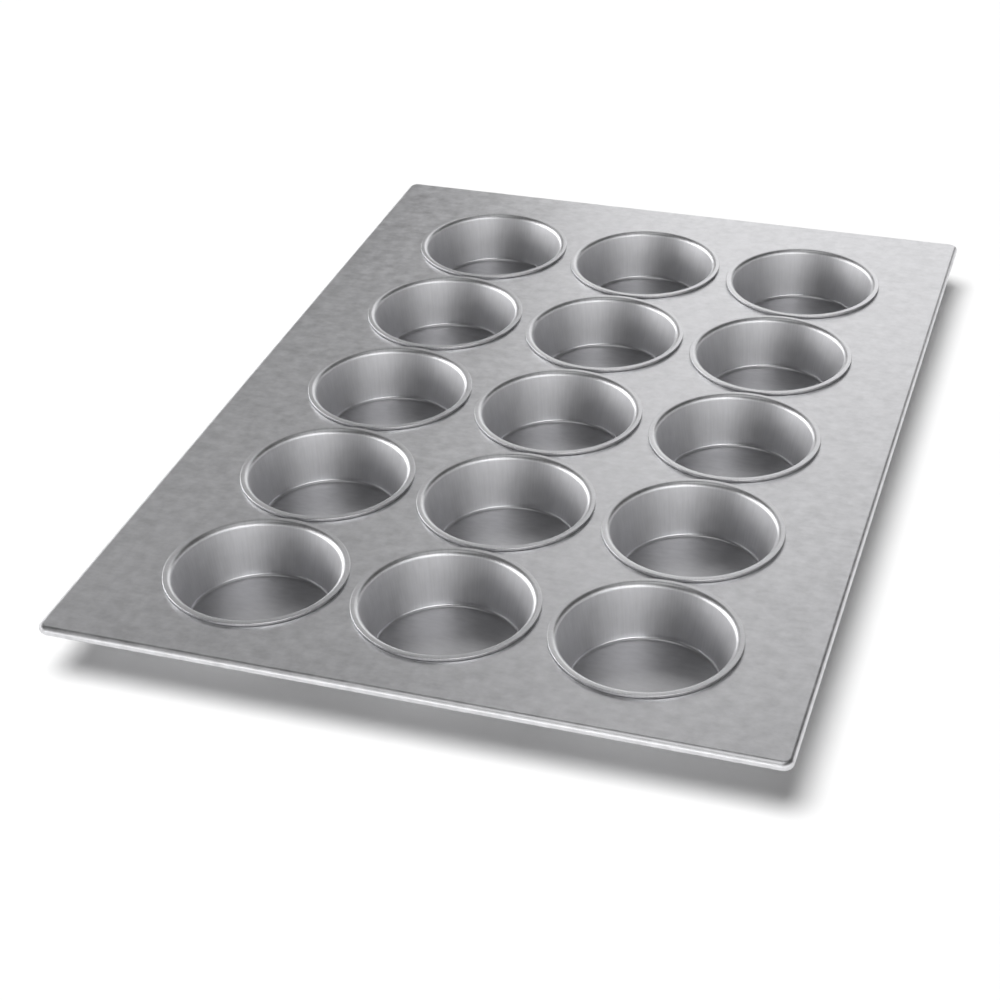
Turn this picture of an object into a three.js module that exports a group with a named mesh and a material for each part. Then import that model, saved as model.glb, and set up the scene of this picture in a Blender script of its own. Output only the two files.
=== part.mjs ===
// A full-size bakery pan for mini cakes: fifteen drawn cups, each lock-seamed into one flat frame
// sheet whose edge is curled round a steel wire. Millimetres, +Z up. The pan stands on its cup
// floors at z = 0, with the origin under the middle of the sheet and the five rows along Y.
import * as THREE from "three";
import { mergeVertices } from "three/addons/utils/BufferGeometryUtils.js";

// Layout
const COLUMNS = ["left", "middle", "right"];
const ROWS = 5;
const RIM_GAP_ACROSS = 8; // between neighbouring cup rims along X
const RIM_GAP_ALONG = 2.4; // between neighbouring cup rims along Y
const SIDE_MARGIN = 46.8; // from the sheet's side edge to the first rim
const FRONT_MARGIN = 32.4;
const BACK_MARGIN = 41.2; // the wider strip, where a baker grips the pan

// Sheet, wire and folds
const FRAME_GAUGE = 0.5; // aluminised steel, about 26 gauge
const CUP_GAUGE = 0.5;
const SEAM_GAP = 0.2; // between the folded layers of a seam
const WIRE_DIAMETER = 4.76;
const WIRE_CLEARANCE = 0.3; // between the wire and the curl round it
const WIRE_BUTT_GAP = 1; // between the wire's two ends
const CURL_WRAP = 300; // degrees of sheet round the wire
const CORNER_BEND = 0.4; // plan radius inside the curl at a corner

// Cup
const CUP_TOP_RADIUS = 51.6; // inside, where the wall meets the rim
const CUP_FLOOR_RADIUS = 46; // inside, where the wall would meet the floor with no fillet
const CUP_DEPTH = 36.5; // from the top of the rim to the floor
const FLOOR_FILLET = 2;
const RIM_WIDTH = 5.8; // from the wall's inside to the rim's outer edge
const RIM_ROUND = 3.6; // radius from the wall on to the rim
const COLLAR_TUCK = 0.3; // how far the frame's collar stands in under that round
const LIP_REACH = 1.8; // how far the rim's folded edge returns under the flange

// Facets
const CUP_SEGMENTS = 20;
const SHOULDER_ANGLE = Math.PI / 3; // where the rim's round is broken into two facets
const CORNER_SEGMENTS = 3;
const CURL_SEGMENTS = 10;
const WIRE_SIDES = 8;

// Heights. Over the frame sheet lie the cup's folded lip, the frame's flange and the cup's rim.
const LIP_TOP = SEAM_GAP + CUP_GAUGE;
const FLANGE_BOTTOM = LIP_TOP + SEAM_GAP;
const FLANGE_TOP = FLANGE_BOTTOM + FRAME_GAUGE;
const RIM_UNDERSIDE = FLANGE_TOP + SEAM_GAP;
const RIM_HEIGHT = RIM_UNDERSIDE + CUP_GAUGE;
const RIM_TOP_Z = CUP_GAUGE + CUP_DEPTH;
const SHEET_TOP_Z = RIM_TOP_Z - RIM_HEIGHT;
const SHEET_UNDERSIDE_Z = SHEET_TOP_Z - FRAME_GAUGE;

// Plan
const RIM_RADIUS = CUP_TOP_RADIUS + RIM_WIDTH;
const PITCH_ACROSS = 2 * RIM_RADIUS + RIM_GAP_ACROSS;
const PITCH_ALONG = 2 * RIM_RADIUS + RIM_GAP_ALONG;
const PAN_WIDTH = 2 * (SIDE_MARGIN + RIM_RADIUS) + (COLUMNS.length - 1) * PITCH_ACROSS;
const PAN_LENGTH = FRONT_MARGIN + BACK_MARGIN + 2 * RIM_RADIUS + (ROWS - 1) * PITCH_ALONG;
const FOLD_RADIUS = (RIM_HEIGHT - SEAM_GAP) / 2; // of the rim's rounded outer edge
const FOLD_RADIAL = RIM_RADIUS - FOLD_RADIUS;
const CURL_RADIUS = WIRE_DIAMETER / 2 + WIRE_CLEARANCE + FRAME_GAUGE;
const CORNER_RADIUS = 2 * CURL_RADIUS + CORNER_BEND;

const sheetSteel = new THREE.MeshStandardMaterial({ color: 0xa4a6a8, roughness: 0.42, metalness: 0.9 });
const cupSteel = new THREE.MeshStandardMaterial({ color: 0x9c9ea1, roughness: 0.36, metalness: 0.9 });
const wireSteel = new THREE.MeshStandardMaterial({ color: 0x8b8d90, roughness: 0.5, metalness: 0.9 });

const pan = new THREE.Group();

function addPiece(name, geometry, material, x = 0, y = 0) {
  const mesh = new THREE.Mesh(geometry, material);
  mesh.name = name;
  mesh.position.set(x, y, 0);
  pan.add(mesh);
}

// Collects triangles and makes one closed, indexed geometry of them.
class Skin {
  corners = [];

  triangle(a, b, c) {
    this.corners.push(...a, ...b, ...c);
  }

  // A closed ring is lofted to the next one, point to point.
  loft(rings) {
    for (let i = 0; i + 1 < rings.length; i++) {
      const [low, high] = [rings[i], rings[i + 1]];
      low.forEach((point, k) => {
        const next = (k + 1) % low.length;
        this.triangle(point, low[next], high[next]);
        this.triangle(point, high[next], high[k]);
      });
    }
  }

  // A flat face inside an outline and round its holes, facing up or down.
  face(outline, holes, facesUp) {
    const flat = (ring) => ring.map((point) => new THREE.Vector2(point.x, point.y));
    const points = [outline, ...holes].flat();
    for (const indices of THREE.ShapeUtils.triangulateShape(flat(outline), holes.map(flat))) {
      const [a, b, c] = indices.map((index) => points[index]);
      const turnsLeft = (b.x - a.x) * (c.y - a.y) - (b.y - a.y) * (c.x - a.x) > 0;
      if (turnsLeft === facesUp) this.triangle(a, b, c);
      else this.triangle(a, c, b);
    }
  }

  geometry() {
    const position = new THREE.Float32BufferAttribute(this.corners, 3);
    return mergeVertices(new THREE.BufferGeometry().setAttribute("position", position));
  }
}

// A level circle about a cup's axis, with the same facets as the cup.
function circle(centre, radius, z) {
  return Array.from({ length: CUP_SEGMENTS }, (_, k) => {
    const angle = (2 * Math.PI * k) / CUP_SEGMENTS;
    return new THREE.Vector3(
      centre.x + radius * Math.sin(angle),
      centre.y - radius * Math.cos(angle),
      z,
    );
  });
}

// The pan's outline at a level, moved in from its outer edge, from the front right corner leftwise.
function outline(inset, z) {
  const middle = new THREE.Vector2(PAN_WIDTH / 2 - CORNER_RADIUS, PAN_LENGTH / 2 - CORNER_RADIUS);
  const signs = [[1, -1], [1, 1], [-1, 1], [-1, -1]];
  return signs.flatMap(([signX, signY], corner) =>
    Array.from({ length: CORNER_SEGMENTS + 1 }, (_, k) => {
      const angle = (Math.PI / 2) * (corner - 1 + k / CORNER_SEGMENTS);
      return new THREE.Vector3(
        signX * middle.x + (CORNER_RADIUS - inset) * Math.cos(angle),
        signY * middle.y + (CORNER_RADIUS - inset) * Math.sin(angle),
        z,
      );
    }),
  );
}

function cupCentre(row, column) {
  return new THREE.Vector2(
    (column - (COLUMNS.length - 1) / 2) * PITCH_ACROSS,
    -PAN_LENGTH / 2 + FRONT_MARGIN + RIM_RADIUS + row * PITCH_ALONG,
  );
}

// Frame sheet: one blank with a flanged hole for each cup and its edge curled down round the wire.
function frameSheet() {
  const skin = new Skin();
  const collarInside = CUP_TOP_RADIUS + RIM_ROUND - COLLAR_TUCK;
  const collarOutside = collarInside + FRAME_GAUGE;
  const flangeTip = FOLD_RADIAL - SEAM_GAP;
  const holeSection = [
    [collarInside, SHEET_UNDERSIDE_Z],
    [collarInside, SHEET_TOP_Z + FLANGE_TOP],
    [flangeTip, SHEET_TOP_Z + FLANGE_TOP],
    [flangeTip, SHEET_TOP_Z + FLANGE_BOTTOM],
    [collarOutside, SHEET_TOP_Z + FLANGE_BOTTOM],
    [collarOutside, SHEET_TOP_Z],
  ];
  const holesAbove = [];
  const holesBelow = [];
  for (let row = 0; row < ROWS; row++) {
    COLUMNS.forEach((_, column) => {
      const rings = holeSection.map(([radius, z]) => circle(cupCentre(row, column), radius, z));
      skin.loft(rings.toReversed());
      holesBelow.push(rings[0]);
      holesAbove.push(rings.at(-1));
    });
  }

  const curl = (radius) =>
    Array.from({ length: CURL_SEGMENTS + 1 }, (_, k) => {
      const angle = THREE.MathUtils.degToRad(90 - (CURL_WRAP * k) / CURL_SEGMENTS);
      return outline(
        CURL_RADIUS - radius * Math.cos(angle),
        SHEET_TOP_Z - CURL_RADIUS + radius * Math.sin(angle),
      );
    });
  const outside = curl(CURL_RADIUS);
  const inside = curl(CURL_RADIUS - FRAME_GAUGE);
  skin.loft([...inside, ...outside.toReversed()]);
  skin.face(outside[0], holesAbove, true);
  skin.face(inside[0], holesBelow, false);
  return skin.geometry();
}

// Rim wire: one round wire bent along the curl, its ends butted in the middle of the back edge.
function rimWire() {
  const side = (k) => (2 * Math.PI * k) / WIRE_SIDES;
  const lines = Array.from({ length: WIRE_SIDES }, (_, k) =>
    outline(
      CURL_RADIUS - (WIRE_DIAMETER / 2) * Math.cos(side(k)),
      SHEET_TOP_Z - CURL_RADIUS + (WIRE_DIAMETER / 2) * Math.sin(side(k)),
    ),
  );
  // The outline passes two corners before the back edge.
  const backSplit = 2 * (CORNER_SEGMENTS + 1);
  const sections = lines[0].map((_, station) => lines.map((line) => line[station]));
  const endSection = (x) => lines.map((line) => line[backSplit].clone().setX(x));
  const rings = [
    endSection(-WIRE_BUTT_GAP / 2),
    ...sections.slice(backSplit),
    ...sections.slice(0, backSplit),
    endSection(WIRE_BUTT_GAP / 2),
  ];
  const skin = new Skin();
  skin.loft(rings.toReversed());
  const [first, last] = [rings[0], rings.at(-1)];
  for (let k = 1; k + 1 < WIRE_SIDES; k++) {
    skin.triangle(first[0], first[k], first[k + 1]);
    skin.triangle(last[0], last[k + 1], last[k]);
  }
  return skin.geometry();
}

// Cup: one drawn shell. Its rim rolls outward over the frame's flange and folds back under it.
function cup() {
  const roundRadial = CUP_TOP_RADIUS + RIM_ROUND;
  const roundZ = RIM_TOP_Z - RIM_ROUND;
  const wallRun = CUP_TOP_RADIUS - CUP_FLOOR_RADIUS;
  const wallRise = roundZ - CUP_GAUGE;
  const wallAt = (height) => CUP_FLOOR_RADIUS + (wallRun * height) / wallRise;
  const underRound = RIM_ROUND - CUP_GAUGE;
  const shoulder = new THREE.Vector2(-Math.cos(SHOULDER_ANGLE), Math.sin(SHOULDER_ANGLE));
  const section = [
    // under the floor and up the outside of the wall
    [0, 0],
    [CUP_FLOOR_RADIUS - FLOOR_FILLET + CUP_GAUGE / 2, 0],
    [wallAt(FLOOR_FILLET) + CUP_GAUGE, FLOOR_FILLET],
    [CUP_TOP_RADIUS + CUP_GAUGE, roundZ],
    // the underside of the rim, round the fold to the lip's edge
    [roundRadial + underRound * shoulder.x, roundZ + underRound * shoulder.y],
    [roundRadial, SHEET_TOP_Z + RIM_UNDERSIDE],
    [FOLD_RADIAL, SHEET_TOP_Z + RIM_UNDERSIDE],
    [FOLD_RADIAL, SHEET_TOP_Z + LIP_TOP],
    [RIM_RADIUS - LIP_REACH, SHEET_TOP_Z + LIP_TOP],
    [RIM_RADIUS - LIP_REACH, SHEET_TOP_Z + SEAM_GAP],
    // back over the fold and the crown of the rim
    [FOLD_RADIAL, SHEET_TOP_Z + SEAM_GAP],
    [RIM_RADIUS, RIM_TOP_Z - FOLD_RADIUS],
    [FOLD_RADIAL, RIM_TOP_Z],
    [roundRadial, RIM_TOP_Z],
    [roundRadial + RIM_ROUND * shoulder.x, roundZ + RIM_ROUND * shoulder.y],
    // down the inside of the wall and across the floor
    [CUP_TOP_RADIUS, roundZ],
    [wallAt(FLOOR_FILLET), CUP_GAUGE + FLOOR_FILLET],
    [CUP_FLOOR_RADIUS - FLOOR_FILLET, CUP_GAUGE],
    [0, CUP_GAUGE],
  ].map(([radius, z]) => new THREE.Vector2(radius, z));
  const shell = new THREE.LatheGeometry(section, CUP_SEGMENTS).rotateX(Math.PI / 2);
  shell.deleteAttribute("normal");
  shell.deleteAttribute("uv");
  return mergeVertices(shell);
}

addPiece("frame_sheet", frameSheet(), sheetSteel);
addPiece("rim_wire", rimWire(), wireSteel);
for (let row = 0; row < ROWS; row++) {
  COLUMNS.forEach((side, column) => {
    const centre = cupCentre(row, column);
    addPiece(`cup_row${row + 1}_${side}`, cup(), cupSteel, centre.x, centre.y);
  });
}

export default pan;
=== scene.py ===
"""Looks of the mini cake pan: satin aluminised steel cups seamed into a wired frame sheet."""
import math

import bmesh
import bpy
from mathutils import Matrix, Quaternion, Vector
from mathutils.geometry import tessellate_polygon


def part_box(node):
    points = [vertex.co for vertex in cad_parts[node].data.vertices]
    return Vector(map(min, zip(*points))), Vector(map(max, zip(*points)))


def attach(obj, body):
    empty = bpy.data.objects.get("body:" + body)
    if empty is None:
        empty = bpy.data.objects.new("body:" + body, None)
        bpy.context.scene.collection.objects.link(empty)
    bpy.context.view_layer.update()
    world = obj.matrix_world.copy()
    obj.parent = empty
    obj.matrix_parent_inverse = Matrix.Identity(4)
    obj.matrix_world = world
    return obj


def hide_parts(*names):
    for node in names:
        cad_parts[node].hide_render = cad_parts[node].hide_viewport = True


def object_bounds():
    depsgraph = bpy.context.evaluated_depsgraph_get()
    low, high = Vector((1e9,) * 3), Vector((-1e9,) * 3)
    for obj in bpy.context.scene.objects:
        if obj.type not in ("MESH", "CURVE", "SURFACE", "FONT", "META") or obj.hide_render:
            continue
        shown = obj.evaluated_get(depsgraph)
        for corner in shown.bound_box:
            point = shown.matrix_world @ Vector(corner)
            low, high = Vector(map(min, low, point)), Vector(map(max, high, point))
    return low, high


MM = 0.001

# Sheet metal, as in the solids
GAUGE = 0.5 * MM
SEAM_GAP = 0.2 * MM
RIM_ROUND = 3.6 * MM
COLLAR_TUCK = 0.3 * MM
LIP_REACH = 1.8 * MM
CUP_TOP_RADIUS = 51.6 * MM
CUP_FLOOR_RADIUS = 46 * MM
FLOOR_FILLET = 2 * MM
WIRE_RADIUS = 2.38 * MM
WIRE_CLEARANCE = 0.3 * MM
WIRE_BUTT_GAP = 1 * MM
CURL_WRAP = 300  # degrees round the wire
CORNER_BEND = 0.4 * MM

# Small bends, which the solids have fuller or sharp
COLLAR_BEND = 0.8 * MM
HEM_EDGE = 0.35 * MM

# Steel finish: tones and roughness
SHEET_TONE = (0.66, 0.66, 0.675)
CUP_TONE = (0.64, 0.64, 0.655)
WIRE_TONE = (0.55, 0.55, 0.56)
SHEET_ROUGHNESS = 0.36
CUP_FLOOR_ROUGHNESS = 0.34
CUP_WALL_ROUGHNESS = 0.56
CUP_RIM_ROUGHNESS = 0.34
WIRE_ROUGHNESS = 0.4
CUP_WALL_STREAK = 0.4  # how strongly a cup wall blurs light up and down rather than around
QUARTER_TURN = 0.25  # turns that blur from around the cup to up and down

# Steel finish: noise cells a metre along X, Y and Z, then layers of detail
GRAIN = ((110, 330, 330), 3)
MOTTLE = ((130, 130, 130), 4)
WAVES = ((9, 9, 9), 2)
DRAW_LINES = ((45, 45, 60), 4)  # the first two are counted on a circle of radius 1
NOISE_LOW = 0.3  # most of the noise lies between these two
NOISE_HIGH = 0.7

# Steel finish: how far the noise moves the shade, roughness and surface
GRAIN_SHADE = 0.05
SHEET_MOTTLE_SHADE = 0.12
CUP_MOTTLE_SHADE = 0.03
GRAIN_ROUGHNESS = 0.03
SHEET_MOTTLE_ROUGHNESS = 0.03
CUP_MOTTLE_ROUGHNESS = 0.02
GRAIN_DEPTH = 0.004 * MM
WAVE_DEPTH = 0.1 * MM

# Mesh detail
CUP_SEGMENTS = 144
CORNER_SEGMENTS = 14
CURL_STEPS = 40
WIRE_SIDES = 24
FILLET_STEPS = 8
RIM_ROUND_STEPS = 12
UNDER_ROUND_STEPS = 6
HEM_LOW_STEPS = 4
HEM_TOP_STEPS = 5
COLLAR_STEPS = 5
FLOOR_RINGS = (0.25, 0.5, 0.75)  # shares of the flat floor's radius
WELD_DISTANCE = 0.002 * MM
SHARP_ANGLE = 40  # degrees

# Camera, measured on the photograph: its place from the middle of the sheet's top face in metres,
# its angles in degrees, its lens and sensor in millimetres
CAMERA_PLACE = Vector((0.3618, -1.198, 0.731))
CAMERA_HEADING = -18.776
CAMERA_TILT = 32.73
CAMERA_ROLL = -1.6
CAMERA_LENS = 75.88
SENSOR_WIDTH = 36

# Stage, in metres, and its light
STAGE_RADIUS = 30
STAGE_SEGMENTS = 48
BACKDROP_RADIUS = 0.99 * STAGE_RADIUS
BACKDROP_FOOT = -0.1
BACKDROP_HEIGHT = 8
LAMP_DISTANCE = 3
FLOOR_GREY = 0.8
FLOOR_LIFT = 0.13
WORLD_GREY = 0.04

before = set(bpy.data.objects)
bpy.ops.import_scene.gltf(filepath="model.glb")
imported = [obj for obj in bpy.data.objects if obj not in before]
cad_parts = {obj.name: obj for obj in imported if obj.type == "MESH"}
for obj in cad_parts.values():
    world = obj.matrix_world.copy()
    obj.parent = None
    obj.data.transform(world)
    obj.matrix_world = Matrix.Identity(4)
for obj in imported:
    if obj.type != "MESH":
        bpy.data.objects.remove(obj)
cad_low, cad_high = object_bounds()
CUPS = sorted(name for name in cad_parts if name.startswith("cup_"))

# Levels and plan, from the solids
cup_low, cup_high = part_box(CUPS[0])
_, sheet_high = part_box("frame_sheet")
RIM_RADIUS = (cup_high.y - cup_low.y) / 2
RIM_TOP = cup_high.z
LIP_TOP = SEAM_GAP + GAUGE
FLANGE_BOTTOM = LIP_TOP + SEAM_GAP
FLANGE_TOP = FLANGE_BOTTOM + GAUGE
RIM_UNDERSIDE = FLANGE_TOP + SEAM_GAP
SHEET_TOP = sheet_high.z - FLANGE_TOP
SHEET_UNDERSIDE = SHEET_TOP - GAUGE
FOLD_RADIUS = (RIM_TOP - SHEET_TOP - SEAM_GAP) / 2
CURL_RADIUS = WIRE_RADIUS + WIRE_CLEARANCE + GAUGE
CORNER_RADIUS = 2 * CURL_RADIUS + CORNER_BEND


def arc(centre, radius, start, end, steps):
    """Points of an arc in a section, from one angle to another in degrees."""
    angles = [math.radians(start + (end - start) * k / steps) for k in range(steps + 1)]
    return [
        (centre[0] + radius * math.cos(angle), centre[1] + radius * math.sin(angle))
        for angle in angles
    ]


def new_piece(name, bm, material, node, place=(0, 0, 0)):
    """Makes a smooth mesh and places it as a piece."""
    bmesh.ops.remove_doubles(bm, verts=bm.verts, dist=WELD_DISTANCE)
    bmesh.ops.recalc_face_normals(bm, faces=bm.faces)
    mesh = bpy.data.meshes.new(name)
    bm.to_mesh(mesh)
    bm.free()
    mesh.shade_smooth()
    mesh.set_sharp_from_angle(angle=math.radians(SHARP_ANGLE))
    mesh.materials.append(material)
    return place_piece(name, mesh, node, place)


def place_piece(name, mesh, node, place):
    """Places a mesh as a piece that stands for a CAD node."""
    piece = bpy.data.objects.new(name, mesh)
    piece.location = place
    bpy.context.scene.collection.objects.link(piece)
    weighted = piece.modifiers.new("weighted_normals", "WEIGHTED_NORMAL")
    weighted.keep_sharp = True
    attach(piece, "root")
    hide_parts(node)
    return piece


def loft(bm, rings):
    """Skins closed rings of vertices, each to the next."""
    for low, high in zip(rings, rings[1:]):
        for k in range(len(low)):
            following = (k + 1) % len(low)
            bm.faces.new((low[k], low[following], high[following], high[k]))


def circle(bm, centre, radius, z):
    ring = []
    for k in range(CUP_SEGMENTS):
        angle = 2 * math.pi * k / CUP_SEGMENTS
        x = centre[0] + radius * math.cos(angle)
        y = centre[1] + radius * math.sin(angle)
        ring.append(bm.verts.new((x, y, z)))
    return ring


def outline(inset, z):
    """The pan's rounded outline at a level, moved in from its outer edge."""
    middle_x = cad_high.x - CORNER_RADIUS
    middle_y = cad_high.y - CORNER_RADIUS
    points = []
    for corner, (side_x, side_y) in enumerate(((1, -1), (1, 1), (-1, 1), (-1, -1))):
        for k in range(CORNER_SEGMENTS + 1):
            angle = math.pi / 2 * (corner - 1 + k / CORNER_SEGMENTS)
            radius = CORNER_RADIUS - inset
            points.append((
                side_x * middle_x + radius * math.cos(angle),
                side_y * middle_y + radius * math.sin(angle),
                z,
            ))
    return points


def flat_face(bm, rings):
    """Fills the flat face between an outline and its holes."""
    polylines = [[vert.co.to_2d().to_3d() for vert in ring] for ring in rings]
    verts = [vert for ring in rings for vert in ring]
    for triangle in tessellate_polygon(polylines):
        bm.faces.new([verts[index] for index in triangle])


def cup_centre(name):
    low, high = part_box(name)
    return (low + high) / 2


def cup_mesh_section():
    """The cup's section: out under the floor, up the outside, round the rim and down the inside."""
    lean = (CUP_TOP_RADIUS - CUP_FLOOR_RADIUS) / (RIM_TOP - RIM_ROUND - GAUGE)
    lean_angle = math.degrees(math.atan(lean))
    fillet_centre = (
        CUP_FLOOR_RADIUS + lean * FLOOR_FILLET - FLOOR_FILLET * math.hypot(1, lean),
        GAUGE + FLOOR_FILLET,
    )
    round_centre = (CUP_TOP_RADIUS + RIM_ROUND, RIM_TOP - RIM_ROUND)
    under_round = RIM_ROUND - GAUGE
    fold_inside = RIM_RADIUS - FOLD_RADIUS
    edge_radial = RIM_RADIUS - HEM_EDGE
    fillet_out = FLOOR_FILLET + GAUGE
    under_floor = [(fillet_centre[0] * share, 0) for share in FLOOR_RINGS]
    on_floor = [(fillet_centre[0] * share, GAUGE) for share in reversed(FLOOR_RINGS)]
    return [
        *under_floor,
        *arc(fillet_centre, fillet_out, -90, -lean_angle, FILLET_STEPS),
        *arc(round_centre, under_round, 180 - lean_angle, 90, UNDER_ROUND_STEPS),
        (fold_inside, SHEET_TOP + RIM_UNDERSIDE),
        (fold_inside, SHEET_TOP + LIP_TOP),
        (RIM_RADIUS - LIP_REACH, SHEET_TOP + LIP_TOP),
        (RIM_RADIUS - LIP_REACH, SHEET_TOP + SEAM_GAP),
        *arc((edge_radial, SHEET_TOP + SEAM_GAP + HEM_EDGE), HEM_EDGE, -90, 0, HEM_LOW_STEPS),
        *arc((edge_radial, RIM_TOP - HEM_EDGE), HEM_EDGE, 0, 90, HEM_TOP_STEPS),
        *arc(round_centre, RIM_ROUND, 90, 180 - lean_angle, RIM_ROUND_STEPS),
        *arc(fillet_centre, FLOOR_FILLET, -lean_angle, -90, FILLET_STEPS),
        *on_floor,
    ]


def build_cups(material):
    bm = bmesh.new()
    rings = [circle(bm, (0, 0), radius, z) for radius, z in cup_mesh_section()]
    loft(bm, rings)
    for ring, z in ((rings[0], 0), (rings[-1], GAUGE)):
        hub = bm.verts.new((0, 0, z))
        for k, vert in enumerate(ring):
            bm.faces.new((hub, vert, ring[(k + 1) % len(ring)]))
    first = CUPS[0]
    place = cup_centre(first).to_2d().to_3d()
    pieces = [new_piece(f"{first}_shell", bm, material, first, place)]
    for name in CUPS[1:]:
        place = cup_centre(name).to_2d().to_3d()
        pieces.append(place_piece(f"{name}_shell", pieces[0].data, name, place))
    return pieces


def build_sheet(material):
    bm = bmesh.new()
    collar_inside = CUP_TOP_RADIUS + RIM_ROUND - COLLAR_TUCK
    collar_outside = collar_inside + GAUGE
    flange_tip = RIM_RADIUS - FOLD_RADIUS - SEAM_GAP
    bend_centre = (collar_inside + COLLAR_BEND, SHEET_UNDERSIDE + COLLAR_BEND)
    hole_section = [
        *arc(bend_centre, COLLAR_BEND, 270, 180, COLLAR_STEPS),
        (collar_inside, SHEET_TOP + FLANGE_TOP),
        (flange_tip, SHEET_TOP + FLANGE_TOP),
        (flange_tip, SHEET_TOP + FLANGE_BOTTOM),
        (collar_outside, SHEET_TOP + FLANGE_BOTTOM),
        (collar_outside, SHEET_TOP),
    ]
    holes_above = []
    holes_below = []
    for name in CUPS:
        rings = [circle(bm, cup_centre(name), radius, z) for radius, z in hole_section]
        loft(bm, rings)
        holes_below.append(rings[0])
        holes_above.append(rings[-1])

    curl_centre = (-CURL_RADIUS, SHEET_TOP - CURL_RADIUS)
    inner = CURL_RADIUS - GAUGE
    curl_section = [
        *arc(curl_centre, CURL_RADIUS, 90, 90 - CURL_WRAP, CURL_STEPS),
        *arc(curl_centre, inner, 90 - CURL_WRAP, 90, CURL_STEPS),
    ]
    rings = []
    for out, z in curl_section:
        rings.append([bm.verts.new(point) for point in outline(-out, z)])
    loft(bm, rings)
    flat_face(bm, [rings[0], *holes_above])
    flat_face(bm, [rings[-1], *holes_below])
    return new_piece("frame_sheet_skin", bm, material, "frame_sheet")


def build_wire(material):
    bm = bmesh.new()
    centre = (-CURL_RADIUS, SHEET_TOP - CURL_RADIUS)
    section = arc(centre, WIRE_RADIUS, 0, 360, WIRE_SIDES)[:-1]
    lines = [outline(-out, z) for out, z in section]
    back_split = 2 * (CORNER_SEGMENTS + 1)  # where the back edge ends and the third corner starts
    stations = [[line[k] for line in lines] for k in range(len(lines[0]))]
    first = [(-WIRE_BUTT_GAP / 2, y, z) for _, y, z in stations[back_split]]
    last = [(WIRE_BUTT_GAP / 2, y, z) for _, y, z in stations[back_split]]
    path = [first, *stations[back_split:], *stations[:back_split], last]
    rings = [[bm.verts.new(point) for point in ring] for ring in path]
    loft(bm, rings)
    bm.faces.new(rings[0])
    bm.faces.new(rings[-1])
    new_piece("rim_wire_round", bm, material, "rim_wire")


class Nodes:
    """Short calls for adding and linking shader nodes."""

    def __init__(self, tree):
        self.tree = tree
        tree.nodes.clear()

    def add(self, kind, inputs=(), **settings):
        node = self.tree.nodes.new(kind)
        for key, value in settings.items():
            setattr(node, key, value)
        for name, value in dict(inputs).items():
            if isinstance(value, bpy.types.NodeSocket):
                self.tree.links.new(value, node.inputs[name])
            else:
                node.inputs[name].default_value = value
        return node

    def math(self, operation, a, b):
        return self.add("ShaderNodeMath", {0: a, 1: b}, operation=operation).outputs["Value"]

    def vector(self, operation, a, b=(0, 0, 0)):
        node = self.add("ShaderNodeVectorMath", {0: a, 1: b}, operation=operation)
        return node.outputs["Vector"]

    def noise(self, place, cells, detail):
        """Noise of so many cells for each unit along each axis."""
        scaled = self.vector("MULTIPLY", place, cells)
        node = self.add("ShaderNodeTexNoise", {"Vector": scaled, "Scale": 1.0, "Detail": detail})
        return node.outputs["Fac"]

    def spread(self, value, reach):
        """Turns noise into a value that strays so far to either side of nought."""
        return self.blend(value, NOISE_LOW, NOISE_HIGH, -reach, reach)

    def blend(self, value, low, high, below, above):
        """Goes from one value to another as the first runs between two limits."""
        limits = {"From Min": low, "From Max": high, "To Min": below, "To Max": above}
        return self.add("ShaderNodeMapRange", {"Value": value, **limits}).outputs["Result"]

    def bump(self, height, depth, normal=None):
        inputs = {"Height": height, "Strength": 1.0, "Distance": depth}
        if normal:
            inputs["Normal"] = normal
        return self.add("ShaderNodeBump", inputs).outputs["Normal"]


def new_material(name):
    material = bpy.data.materials.new(name)
    material.use_nodes = True
    return material, Nodes(material.node_tree)


def finish_steel(nodes, tone, shade, rough, normal, streaks=()):
    colour = nodes.vector("MULTIPLY", tone, nodes.math("ADD", shade, 1.0))
    shader = nodes.add(
        "ShaderNodeBsdfPrincipled",
        {
            "Base Color": colour,
            "Metallic": 1.0,
            "Roughness": rough,
            "Normal": normal,
            **dict(streaks),
        },
    )
    nodes.add("ShaderNodeOutputMaterial", {"Surface": shader.outputs["BSDF"]})


def rolled_steel(name, tone, roughness):
    """Satin aluminised sheet: a rolled grain along X, mottling and slow unevenness."""
    material, nodes = new_material(name)
    place = nodes.add("ShaderNodeNewGeometry").outputs["Position"]
    grain = nodes.noise(place, *GRAIN)
    mottle = nodes.noise(place, *MOTTLE)
    waves = nodes.noise(place, *WAVES)
    shade = nodes.math(
        "ADD", nodes.spread(grain, GRAIN_SHADE), nodes.spread(mottle, SHEET_MOTTLE_SHADE)
    )
    rough = nodes.math(
        "ADD", nodes.spread(grain, GRAIN_ROUGHNESS), nodes.spread(mottle, SHEET_MOTTLE_ROUGHNESS)
    )
    rough = nodes.math("ADD", rough, roughness)
    normal = nodes.bump(waves, WAVE_DEPTH, nodes.bump(grain, GRAIN_DEPTH))
    finish_steel(nodes, tone, shade, rough, normal)
    return material


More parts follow.
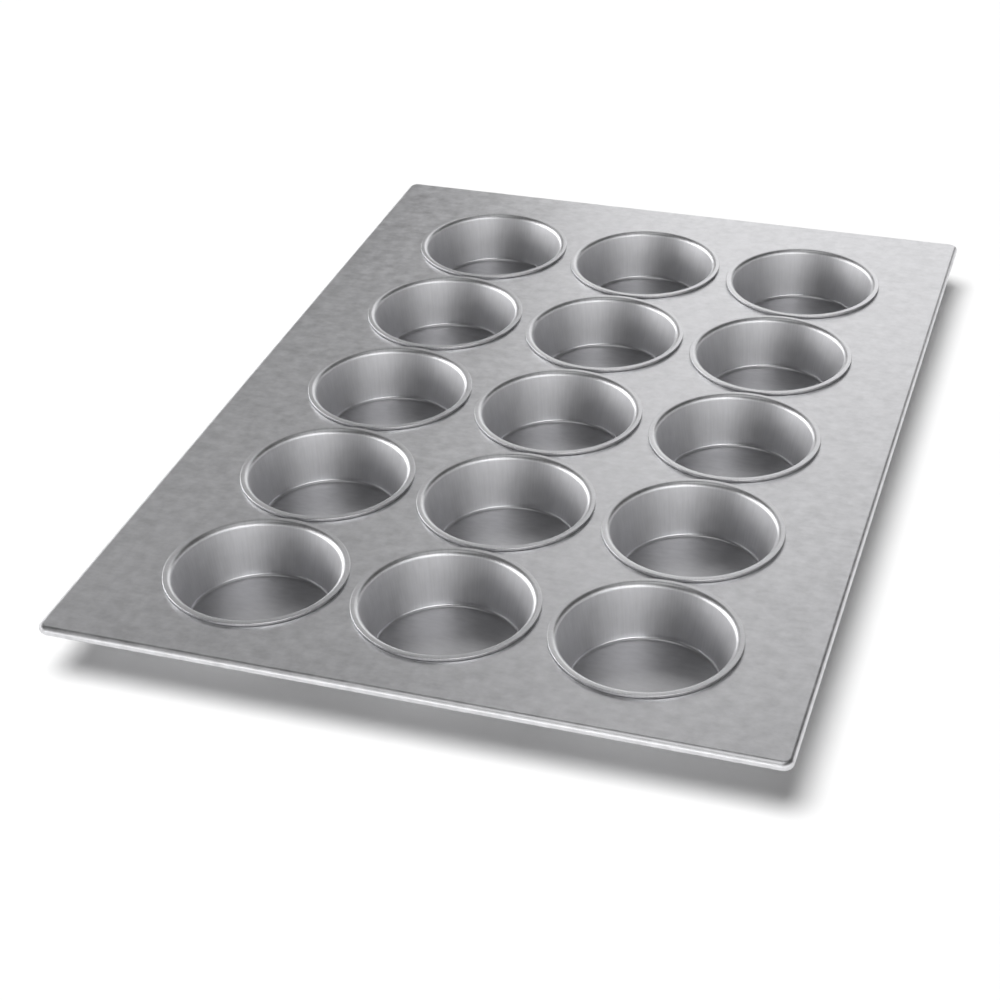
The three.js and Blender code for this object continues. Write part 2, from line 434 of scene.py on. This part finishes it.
def drawn_steel(name, tone):
    """Cup metal: rolled grain on the floor, upright draw lines on a duller wall, a smoother rim."""
    material, nodes = new_material(name)
    place = nodes.add("ShaderNodeNewGeometry").outputs["Position"]
    local = nodes.add("ShaderNodeTexCoord").outputs["Object"]
    height = nodes.add("ShaderNodeSeparateXYZ", {"Vector": local}).outputs["Z"]
    around = nodes.vector("NORMALIZE", nodes.vector("MULTIPLY", local, (1, 1, 0)))
    upright = nodes.vector("ADD", around, nodes.vector("MULTIPLY", local, (0, 0, 1)))

    wall_foot = GAUGE + FLOOR_FILLET
    wall_even = 2 * wall_foot
    rim_foot = RIM_TOP - RIM_ROUND
    rim_change = CUP_RIM_ROUGHNESS - CUP_WALL_ROUGHNESS

    grain = nodes.noise(place, *GRAIN)
    draw_lines = nodes.noise(upright, *DRAW_LINES)
    mottle = nodes.noise(place, *MOTTLE)
    lines = nodes.blend(height, GAUGE, wall_foot, grain, draw_lines)
    shade = nodes.math(
        "ADD", nodes.spread(lines, GRAIN_SHADE), nodes.spread(mottle, CUP_MOTTLE_SHADE)
    )
    rough = nodes.math(
        "ADD", nodes.spread(lines, GRAIN_ROUGHNESS), nodes.spread(mottle, CUP_MOTTLE_ROUGHNESS)
    )
    on_wall = nodes.blend(height, wall_foot, wall_even, CUP_FLOOR_ROUGHNESS, CUP_WALL_ROUGHNESS)
    on_rim = nodes.blend(height, rim_foot, RIM_TOP, 0, rim_change)
    rough = nodes.math("ADD", rough, nodes.math("ADD", on_wall, on_rim))
    around_axis = nodes.add("ShaderNodeTangent", direction_type="RADIAL", axis="Z")
    streaks = {
        "Anisotropic": nodes.blend(height, wall_foot, wall_even, 0, CUP_WALL_STREAK),
        "Anisotropic Rotation": QUARTER_TURN,
        "Tangent": around_axis.outputs["Tangent"],
    }
    finish_steel(nodes, tone, shade, rough, nodes.bump(lines, GRAIN_DEPTH), streaks)
    return material


def seen_light(nodes, strength):
    """Light that only the camera and mirror-like surfaces see."""
    path = nodes.add("ShaderNodeLightPath")
    seen = path.outputs["Is Camera Ray"]
    for ray in ("Is Glossy Ray", "Is Transmission Ray"):
        seen = nodes.math("MAXIMUM", seen, path.outputs[ray])
    return nodes.add(
        "ShaderNodeEmission", {"Strength": nodes.math("MULTIPLY", seen, strength)}
    ).outputs["Emission"]


def floor_material():
    """A white floor that keeps the pan's shadow."""
    material, nodes = new_material("white_floor")
    diffuse = nodes.add("ShaderNodeBsdfDiffuse", {"Color": (FLOOR_GREY, FLOOR_GREY, FLOOR_GREY, 1)})
    lift = seen_light(nodes, FLOOR_LIFT)
    both = nodes.add("ShaderNodeAddShader", {0: diffuse.outputs[0], 1: lift})
    nodes.add("ShaderNodeOutputMaterial", {"Surface": both.outputs[0]})
    return material


def backdrop_material():
    """A white backdrop, as bright as the lit floor."""
    material, nodes = new_material("white_wall")
    nodes.add("ShaderNodeOutputMaterial", {"Surface": seen_light(nodes, 1.0)})
    return material


def stage_piece(name, verts, faces, material):
    mesh = bpy.data.meshes.new(name)
    mesh.from_pydata(verts, [], faces)
    mesh.materials.append(material)
    piece = bpy.data.objects.new(name, mesh)
    bpy.context.scene.collection.objects.link(piece)
    return piece


def build_stage():
    """A round floor and, near its edge all round, a white backdrop whose foot lies below it."""
    turns = [2 * math.pi * k / STAGE_SEGMENTS for k in range(STAGE_SEGMENTS)]

    def ring(radius, z):
        return [(radius * math.cos(turn), radius * math.sin(turn), z) for turn in turns]

    low = ring(BACKDROP_RADIUS, BACKDROP_FOOT)
    high = ring(BACKDROP_RADIUS, BACKDROP_HEIGHT)
    sides = []
    for k in range(STAGE_SEGMENTS):
        following = (k + 1) % STAGE_SEGMENTS
        sides.append((following, k, STAGE_SEGMENTS + k, STAGE_SEGMENTS + following))
    stage_piece("backdrop", low + high, sides, backdrop_material())
    level = ring(STAGE_RADIUS, 0)
    return stage_piece("floor", level, [tuple(range(STAGE_SEGMENTS))], floor_material())


def build_world():
    world = bpy.data.worlds.new("studio")
    world.use_nodes = True
    nodes = Nodes(world.node_tree)
    background = nodes.add(
        "ShaderNodeBackground", {"Color": (WORLD_GREY, WORLD_GREY, WORLD_GREY, 1)}
    )
    nodes.add("ShaderNodeOutputWorld", {"Surface": background.outputs[0]})
    bpy.context.scene.world = world


def receivers(name, things, link_state):
    """A light group that holds a lamp to some things, or keeps the lamp off them."""
    group = bpy.data.collections.new(name)
    for thing in things:
        group.objects.link(thing)
    for member in group.collection_objects:
        member.light_linking.link_state = link_state
    return group


def place_lamp(lamp, heading, elevation, lit):
    """Aims a lamp at the pan from a heading (0 is behind it, along +Y) and elevation."""
    turn, rise = math.radians(heading), math.radians(elevation)
    away = Vector((
        math.sin(turn) * math.cos(rise),
        math.cos(turn) * math.cos(rise),
        math.sin(rise),
    ))
    holder = bpy.data.objects.new(lamp.name, lamp)
    holder.location = Vector((0, 0, SHEET_TOP)) + away * LAMP_DISTANCE
    holder.rotation_mode = "QUATERNION"
    holder.rotation_quaternion = (-away).to_track_quat("-Z", "Y")
    holder.visible_camera = False
    holder.light_linking.receiver_collection = lit
    bpy.context.scene.collection.objects.link(holder)


def softbox(name, heading, elevation, size, power, lit):
    """A soft rectangular lamp, its size in metres and its power in watts."""
    lamp = bpy.data.lights.new(name, "AREA")
    lamp.shape = "RECTANGLE"
    lamp.size, lamp.size_y = size
    lamp.energy = power
    place_lamp(lamp, heading, elevation, lit)


def overhead(name, heading, elevation, spread, strength, lit):
    """A far, broad light that is even all over the floor."""
    lamp = bpy.data.lights.new(name, "SUN")
    lamp.angle = math.radians(spread)
    lamp.energy = strength
    place_lamp(lamp, heading, elevation, lit)


def build_lamps(floor, sheet, cups):
    # For all of the pan
    metal = receivers("lit_metal", [floor], "EXCLUDE")
    softbox("back_window", 0, 22, (1.7, 0.9), 6.4, metal)
    softbox("back_top", 0, 40, (1.5, 1.1), 3.5, metal)
    softbox("back_left", -30, 36, (1.5, 1.1), 2.8, metal)
    softbox("left_back", -60, 20, (1.7, 1.1), 5.2, metal)
    softbox("left_wall", -100, 15, (3.0, 1.5), 11, metal)
    softbox("right_side", 90, 18, (1.7, 1.1), 2, metal)
    softbox("right_front", 135, 17, (3.0, 1.6), 11, metal)
    softbox("top", 180, 88, (1.8, 1.8), 9, metal)

    # For the sheet alone, where its front bead mirrors them
    bead = receivers("lit_sheet", [sheet], "INCLUDE")
    softbox("front_high", 190, 62, (2.0, 1.4), 10, bead)
    softbox("front_mid", 190, 28, (2.0, 1.4), 9, bead)
    softbox("front_low", 190, 5, (2.0, 0.5), 6.5, bead)

    # For the cups alone, which are deep and would be too dark
    inside = receivers("lit_cups", cups, "INCLUDE")
    softbox("cups_left", -110, 8, (2.4, 0.7), 23, inside)
    softbox("cups_left_back", -68, 8, (2.4, 0.7), 14, inside)
    softbox("cups_front", 165, 8, (2.4, 0.7), 11, inside)
    softbox("cups_right", 135, 17, (3.0, 1.6), 9, inside)
    softbox("cups_right_side", 120, 28, (1.6, 1.0), 9, inside)
    softbox("cups_right_front", 150, 28, (1.6, 1.0), 17, inside)
    softbox("cups_left_wall", -100, 15, (3.0, 1.5), 9, inside)
    softbox("cups_left_high", -80, 22, (1.6, 1.0), 14, inside)

    # For the floor alone, where it casts the pan's shadow
    ground = receivers("lit_floor", [floor], "INCLUDE")
    overhead("floor_key", -130, 76, 43, 3.5, ground)


def build_camera():
    turn, tilt = math.radians(CAMERA_HEADING), math.radians(CAMERA_TILT)
    ahead = Vector((
        math.sin(turn) * math.cos(tilt),
        math.cos(turn) * math.cos(tilt),
        -math.sin(tilt),
    ))
    camera = bpy.data.cameras.new("camera")
    camera.lens = CAMERA_LENS
    camera.sensor_width = SENSOR_WIDTH
    holder = bpy.data.objects.new("camera", camera)
    holder.location = CAMERA_PLACE + Vector((0, 0, SHEET_TOP))
    roll = Quaternion((0, 0, 1), math.radians(CAMERA_ROLL))
    holder.rotation_mode = "QUATERNION"
    holder.rotation_quaternion = ahead.to_track_quat("-Z", "Y") @ roll
    bpy.context.scene.collection.objects.link(holder)
    bpy.context.scene.camera = holder


sheet = build_sheet(rolled_steel("sheet_steel", SHEET_TONE, SHEET_ROUGHNESS))
cups = build_cups(drawn_steel("cup_steel", CUP_TONE))
build_wire(rolled_steel("wire_steel", WIRE_TONE, WIRE_ROUGHNESS))
build_lamps(build_stage(), sheet, cups)
build_world()
build_camera()
bpy.context.scene.view_settings.view_transform = "Standard"
